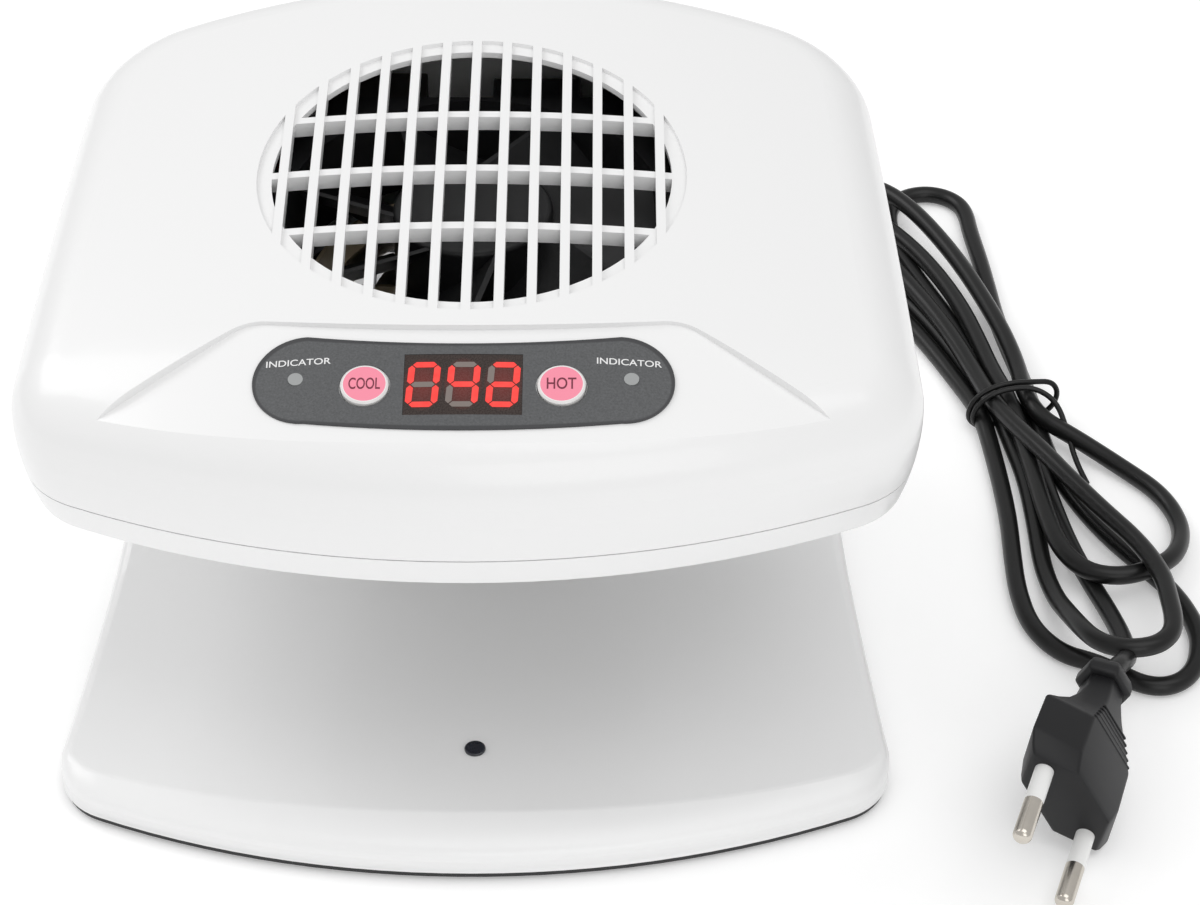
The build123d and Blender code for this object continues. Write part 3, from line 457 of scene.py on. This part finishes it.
def printed_film():
    finish = Finish("printed_film", Coat_Weight=0.25, Coat_Roughness=0.25)
    x, y, _ = finish.places()
    straight = panel_half - panel_round
    bowed = abs(x).least(straight)
    up = (y - panel_middle[1]) * (1 / math.cos(panel_tilt)) - bowed * bowed * (1 / (2 * panel_arch)) + 0.45
    past_middle = (abs(x) - straight).most(0.0)
    from_edge = panel_round - (past_middle * past_middle + up * up) ** 0.5
    edge = 1 - ((from_edge - 0.55) * 3.0).most(0.0).least(1.0)
    sparkle = finish.noise(2300, 3, 0.75)
    clouds = finish.noise(900, 4, 0.7)
    grey = finish.blend(sparkle, (0.012, 0.013, 0.014), (0.150, 0.154, 0.160))
    grey = finish.blend(clouds * 0.35, grey, (0.045, 0.047, 0.050))
    finish.set(Base_Color=finish.blend(edge * 0.85, grey, (0.022, 0.022, 0.025)),
               Roughness=0.42 + sparkle * 0.12)
    finish.bump(sparkle, 0.008)
    return finish


def dark_window():
    """Smoked acrylic, with a faint red glow painted round the lit figures as emission, for their light
    spreading in the window.
    """
    finish = Finish("smoked_window", Specular_IOR_Level=0.3, Coat_Weight=0.15, Coat_Roughness=0.08)
    x, y, _ = finish.places()
    speck = finish.noise(2600, 2, 0.6)
    finish.set(Base_Color=finish.blend(speck, (0.016, 0.010, 0.009), (0.055, 0.038, 0.032)),
               Roughness=0.2 + speck * 0.15)
    # A painted glow: red emission on the window round each of the three figures, fading outwards.
    middle_up = (y - panel_middle[1]) * (1 / 6.2)
    painted_red_glow = None
    for at in (-7.6, 0.0, 7.6):
        across = (x - at) * (1 / 3.9)
        one = (1 - (across * across + middle_up * middle_up)).most(0.0)
        painted_red_glow = one if painted_red_glow is None else painted_red_glow.most(one)
    finish.set(Emission_Color=finish.blend(painted_red_glow, (0, 0, 0), (0.20, 0.008, 0.006)), Emission_Strength=0.55)
    return finish


film = printed_film()
window = dark_window()
figure_lit = Finish("figure_lit", Base_Color=(0.2, 0.01, 0.01), Roughness=0.5,
                    Specular_IOR_Level=0.2, Emission_Strength=0.9)
glow = figure_lit.noise(900, 2)
figure_lit.set(Emission_Color=figure_lit.blend(glow, (1.0, 0.045, 0.04), (1.0, 0.11, 0.09)))
figure_dark = moulded("figure_unlit", (0.20, 0.165, 0.15), 0.5, 2000, 0.004, 0.1)
print_white = moulded("printed_white", (0.80, 0.80, 0.80), 0.5, 2000, 0.002, 0.02)
print_maroon = moulded("printed_maroon", (0.16, 0.012, 0.035), 0.5, 2000, 0.002, 0.05)
print("panel finishes ready")

# %% Give every node of the drawing its finish
finish_of = {
    "white_shell": white, "black_plate": plate_skin, "rubber_feet": rubber, "panel_film": film,
    "display_window": window, "display_module": epoxy, "lamp_lens": lens_grey, "lamp_chip": chip_yellow,
    "circuit_board": board_green, "steel_screw": steel, "switch": epoxy, "button_white": key_white,
    "button_pink": key_pink, "fan_black": black_fan, "brass": brass, "copper": copper,
    "steel_shaft": shaft_steel, "outlet_black": black_fan, "mica": mica, "heating_wire": heating_wire,
    "cutout": epoxy, "transformer": tape_dark, "relay": relay_black, "capacitor": can_black,
    "fuse": fuse_red, "connector": connector_white, "sensor_black": can_black, "cord_black": cord_skin,
    "tie_black": cord_skin, "plug_black": plug_skin, "pin_sleeve": sleeve_white, "pin_nickel": nickel,
}
for name, o in nodes.items():
    for spot in o.material_slots:
        spot.material = finish_of[spot.material.name].material
print("finished", len(nodes), "nodes")

# %% [markdown]
# ## The wire tie
# A short length of vinyl-coated wire is bent nearly twice round the seven strands and its end is left
# pointing along them. It is a NURBS curve like the cord, turned into a mesh once it has its thickness.
# Its places are given as distance across the bundle, along it and above the table.

# %% The tie
tie_along = Vector((0.26, -0.966, 0))
tie_radius = 0.65
tie_bends = [
    (-7.5, 1.0, 0.8), (-9.6, 0.6, 2.2), (-9.6, 0.2, 5.6), (-7.4, 0, 9), (-3.4, 0, 10.8), (1.6, 0, 11),
    (6.2, 0.2, 10.4), (10.6, 0.4, 9.8), (12.2, 1.2, 7.2), (11.2, 2, 4.4), (9.6, 1.6, 2), (7.4, 1.2, 0.8),
    (0, 1.1, 0.8), (-6.8, 1.9, 0.8), (-9.2, 2.1, 3), (-9, 2, 6.4), (-5.6, 2, 10.2), (0.6, 2, 11.2),
    (6, 3, 10.6), (9.6, 7, 8.8), (9.8, 14, 5.4), (9.2, 22, 2), (9.6, 28, 0.9),
]
tie_places = [tie_centre + tie_across * across + tie_along * along + Vector((0, 0, high))
              for across, along, high in tie_bends]
tie_wire = nurbs("tie_wire", tie_places, tie_radius)
take(tie_wire)
bpy.ops.object.convert(target="MESH")
smooth(tie_wire, 60)
tie_wire.data.materials.clear()
tie_wire.data.materials.append(cord_skin.material)
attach(tie_wire, "casing")
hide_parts("cord_tie")
print("tie:", len(tie_wire.data.polygons), "faces")

# %% [markdown]
# ## The plug
# A flat two-pin plug is a stretched hexagon that swells from a thin neck to the width of its pins, with
# its corners cut back at the pin face, and ribs to grip it by. It starts as a six-sided circle, and one
# loop extrudes the end face and resizes it, section by section. A bevel then rounds every edge.

# %% Plug place
plug_turn, plug_droop, plug_roll = (math.radians(a) for a in (-19.4, 4.7, -60))
ahead = Vector((math.sin(plug_turn) * math.cos(plug_droop), -math.cos(plug_turn) * math.cos(plug_droop),
                -math.sin(plug_droop)))
level = Vector((0, 0, 1)).cross(ahead).normalized()
lie = Matrix((level, ahead.cross(level), ahead)).transposed().to_4x4() @ Matrix.Rotation(plug_roll, 4, "Z")
plug_place = place(*route[-1]) @ lie
print("plug points along", [round(c, 2) for c in ahead])

# %% Plug shell by extruding and resizing
def six_sided(name, sections):
    """A six-sided solid through sections of (height, half width, half depth), in millimetres."""
    (z, w, d), *others = sections
    bpy.ops.object.select_all(action="DESELECT")
    bpy.ops.mesh.primitive_circle_add(vertices=6, radius=1, fill_type="NGON")
    piece = new_piece(name)
    bpy.ops.object.mode_set(mode="EDIT")
    bpy.ops.mesh.select_all(action="SELECT")
    bpy.ops.transform.rotate(value=math.radians(90), orient_axis="Z", center_override=(0, 0, 0))
    bpy.ops.transform.resize(value=(w * MM, d / 0.866 * MM, 1), center_override=(0, 0, 0))
    bpy.ops.transform.translate(value=(0, 0, z * MM))
    for height, half_width, half_depth in others:
        bpy.ops.mesh.extrude_region_move(TRANSFORM_OT_translate={"value": (0, 0, (height - z) * MM)})
        bpy.ops.transform.resize(value=(half_width / w, half_depth / d, 1), center_override=(0, 0, 0))
        z, w, d = height, half_width, half_depth
    bpy.ops.mesh.select_all(action="SELECT")
    bpy.ops.mesh.normals_make_consistent(inside=False)
    bpy.ops.object.mode_set(mode="OBJECT")
    return piece


plug_shell = six_sided("plug_shell", [
    (2.5, 4.6, 3.7), (7, 5.2, 4.2), (11, 6.8, 5.0), (15, 9.6, 5.9), (18.5, 13.4, 6.5), (21, 16.6, 6.75),
    (31, 17.2, 6.8), (34.5, 15.6, 6.7), (36, 14.4, 6.5),
])
modify(plug_shell, "BEVEL", width=0.55 * MM, segments=3, angle_limit=math.radians(12))
collar = six_sided("collar", [
    (-1.2, 4.4, 3.6), (-0.6, 5.8, 4.4), (1.2, 6.6, 5.0), (3.2, 6.6, 5.0), (3.6, 5.4, 4.2),
])
modify(collar, "BEVEL", width=0.4 * MM, segments=3, angle_limit=math.radians(12))
print("plug shell", len(plug_shell.data.polygons), "faces")

# %% Grip ribs, one bar copied
def rib_at(height, half_width, half_depth, side):
    bpy.ops.object.select_all(action="DESELECT")
    bpy.ops.mesh.primitive_cube_add(size=1, location=mm(0, side * half_depth, height))
    rib = new_piece("rib")
    rib.scale = mm(half_width * 2, 0.9, 0.62)
    settle(rib)
    return modify(rib, "BEVEL", width=0.28 * MM, segments=2)


ribs = [rib_at(14.2 + 1.45 * i, 5.0 + 0.75 * i, 5.55 + 0.2 * i, side) for i in range(5) for side in (-1, 1)]
take(plug_shell, collar, *ribs)
bpy.ops.object.join()
turned(plug_shell, plug_place)
smooth(plug_shell, 28)
plug_shell.data.materials.append(plug_skin.material)
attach(plug_shell, "casing")
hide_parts("plug_body")
print("plug shell, collar and", len(ribs), "ribs are one piece")

# %% [markdown]
# ## The pins
# Each pin is a nickel-plated rod with a rounded nose, and a white sleeve over the half nearest the plug.
# A cylinder with its end edge bevelled gives the nose; two copies stand 19 mm apart.

# %% Pins and sleeves
pin_spacing, body_length, sleeve_length, pin_length = 19.0, 36.0, 9.0, 19.0


def rod(name, radius, low, high, nose, finish):
    """Two round rods, with the outer end rounded by nose."""
    rods = []
    for side in (-1, 1):
        bpy.ops.object.select_all(action="DESELECT")
        bpy.ops.mesh.primitive_cylinder_add(vertices=48, radius=radius * MM, depth=(high - low) * MM,
                                            location=mm(side * pin_spacing / 2, 0, (low + high) / 2))
        one = new_piece(name)
        settle(one)
        bpy.ops.object.mode_set(mode="EDIT")
        bpy.ops.mesh.select_all(action="DESELECT")
        edit = bmesh.from_edit_mesh(one.data)
        for edge in edit.edges:
            edge.select_set(all(abs(v.co.z - high * MM) < 1e-6 for v in edge.verts))
        bmesh.update_edit_mesh(one.data)
        bpy.ops.mesh.bevel(offset=nose * MM, segments=7, affect="EDGES")
        bpy.ops.object.mode_set(mode="OBJECT")
        rods.append(one)
    take(*rods)
    bpy.ops.object.join()
    both = turned(rods[0], plug_place)
    smooth(both, 40)
    both.data.materials.append(finish.material)
    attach(both, "casing")
    return both


pins = rod("contact_pins", 2.0, body_length + sleeve_length - 0.2, body_length + pin_length, 1.5, nickel)
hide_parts("plug_pins")
sleeves = rod("pin_sleeves", 1.97, body_length - 0.4, body_length + sleeve_length, 0.15, sleeve_white)
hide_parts("plug_sleeves")
print("pins and sleeves stand on the plug")

# %% [markdown]
# ## Printing and figures
# The legends are text, turned into a mesh and laid on the crowned panel point by point. The display's
# figures have seven bars each: one bar is drawn as a six-sided sliver, and a table of lit bars says which
# glow. Unlit bars stay visible as a grey shade.

# %% Laying flat shapes on the panel
def lay_on_panel(piece, lift, flat_at=None):
    """Bend a flat mesh, drawn in millimetres, onto the panel's surface, or onto the flat key at flat_at."""
    for v in piece.data.vertices:
        spot = on_panel(flat_at if flat_at is not None else v.co.x, v.co.y, v.co.z + lift)
        v.co = Vector((v.co.x, spot.y, spot.z)) * MM
    piece.data.update()
    return piece


def legend(name, words, width, height, x, up, finish, body, lift, flat_at=None):
    bpy.ops.object.select_all(action="DESELECT")
    bpy.ops.object.text_add()
    piece = new_piece(name)
    piece.data.body = words
    piece.data.align_x, piece.data.align_y = "CENTER", "CENTER"
    piece.data.extrude = 0.01
    piece.data.offset = 0.008
    bpy.ops.object.convert(target="MESH")
    size = piece.dimensions.copy()
    piece.scale = (width / size.x, height / size.y, 1)
    settle(piece)
    middle = sum((Vector(c) for c in piece.bound_box), Vector()) / 8
    piece.data.transform(Matrix.Translation((x - middle.x, up - middle.y, 0)))
    lay_on_panel(piece, lift, flat_at)
    piece.data.materials.clear()
    piece.data.materials.append(finish.material)
    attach(piece, body)
    return piece


key_x, key_up, key_lift, key_height = 18.7, 0.1, 1.105, 2.7
label_x, label_up, label_lift = 31.6, 6.4, 0.42
legend("legend_cool", "COOL", 6.0, key_height, -key_x, key_up, print_maroon, "cool_key", key_lift,
       key_x)
legend("legend_hot", "HOT", 5.6, key_height, key_x, key_up, print_maroon, "hot_key", key_lift,
       key_x)
for side, name in ((-1, "left"), (1, "right")):
    legend("label_" + name, "INDICATOR", 12.4, 1.5, side * label_x, label_up, print_white, "casing",
           label_lift)
print("legends laid")

# %% Seven bars of a figure
figure_height, figure_width, bar_thick, figure_pitch, figure_slant = 9.4, 4.9, 1.25, 7.6, 0.06
bar_middles = {
    "top": (0, 1, 0), "upper_left": (-1, 0.5, 1), "upper_right": (1, 0.5, 1), "middle": (0, 0, 0),
    "lower_left": (-1, -0.5, 1), "lower_right": (1, -0.5, 1), "bottom": (0, -1, 0),
}
unlit = [("middle",), ("top", "lower_left", "bottom"), ("upper_left",)]


def bar(x, up, upright):
    length = figure_height / 2 - 0.35 if upright else figure_width - 0.35
    bpy.ops.object.select_all(action="DESELECT")
    bpy.ops.mesh.primitive_circle_add(vertices=6, radius=1, fill_type="NGON")
    piece = new_piece("bar")
    tips = [v.co for v in piece.data.vertices]
    for tip in tips:
        long, wide = (tip.y, tip.x)
        reach = length / 2 if abs(long) > 0.9 else length / 2 - bar_thick / 2
        tip.y = math.copysign(reach, long) if abs(long) > 0.1 else 0.0
        tip.x = 0.0 if abs(wide) < 0.1 else math.copysign(bar_thick / 2, wide)
    piece.data.transform(Matrix.Rotation(0 if upright else math.pi / 2, 4, "Z"))
    piece.data.transform(Matrix.Translation((x, up, 0)))
    piece.data.transform(Matrix(((1, figure_slant, 0, 0), (0, 1, 0, 0), (0, 0, 1, 0), (0, 0, 0, 1))))
    return piece


def figures(name, wanted, finish):
    bars = []
    for at, dark in enumerate(unlit):
        for key, (across, up, upright) in bar_middles.items():
            if (key in dark) == wanted:
                continue
            x = (at - 1) * figure_pitch + across * figure_width / 2
            bars.append(bar(x, up * figure_height / 2, upright))
    take(*bars)
    bpy.ops.object.join()
    piece = bars[0]
    piece.name = name
    modify(piece, "SOLIDIFY", thickness=0.06, offset=0)
    lay_on_panel(piece, 0.36)
    piece.data.materials.append(finish.material)
    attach(piece, "casing")
    return piece


figures("figures_lit", True, figure_lit)
figures("figures_unlit", False, figure_dark)
print("figures drawn")

# %% [markdown]
# ## The table
# A white sheet that glows a little stands for the table. It is staged, so it is no part of the dryer.

# %% Floor, so that the cord has something to lie on
bpy.ops.object.select_all(action="DESELECT")
bpy.ops.mesh.primitive_plane_add(size=1)
floor = new_piece("studio_floor")
paper = Finish("white_paper", Base_Color=(0.86, 0.86, 0.86), Roughness=0.9, Specular_IOR_Level=0.0,
               Emission_Color=(1, 1, 1), Emission_Strength=0.25)
floor.data.materials.append(paper.material)
print("floor laid")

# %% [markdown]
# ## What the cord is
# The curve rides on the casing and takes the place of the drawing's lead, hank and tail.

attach(cord, "casing")
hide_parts("mains_cord", "cord_hank", "cord_tail")
cord.data.materials.append(cord_skin.material)

# %% [markdown]
# ## Light
# White mouldings on white paper need a bright sky and weak shadows. Three soft boxes give the shading: a
# key from behind on the left, one above, and a weaker one in front that opens up the hand space.

# %% Lights
world = bpy.data.worlds.new("studio")
bpy.context.scene.world = world
world.use_nodes = True
world.node_tree.nodes["Background"].inputs["Color"].default_value = (1, 1, 1, 1)
world.node_tree.nodes["Background"].inputs["Strength"].default_value = 0.63
bpy.context.scene.view_settings.view_transform = "Standard"


def softbox(name, at, aim, size, power):
    data = bpy.data.lights.new(name, "AREA")
    data.shape, data.size, data.energy = "SQUARE", size, power
    lamp = bpy.data.objects.new(name, data)
    bpy.context.scene.collection.objects.link(lamp)
    lamp.location = at
    lamp.rotation_euler = (Vector(aim) - Vector(at)).to_track_quat("-Z", "Y").to_euler()
    return lamp


softbox("key", (-1.0, 0.5, 1.1), (0, 0, 0.05), 0.9, 6.5)
softbox("front", (0.4, -1.5, 0.7), (0, 0, 0.03), 1.0, 4)
softbox("top", (0.4, -0.3, 1.6), (0, 0, 0), 1.3, 7)
print("lights placed")
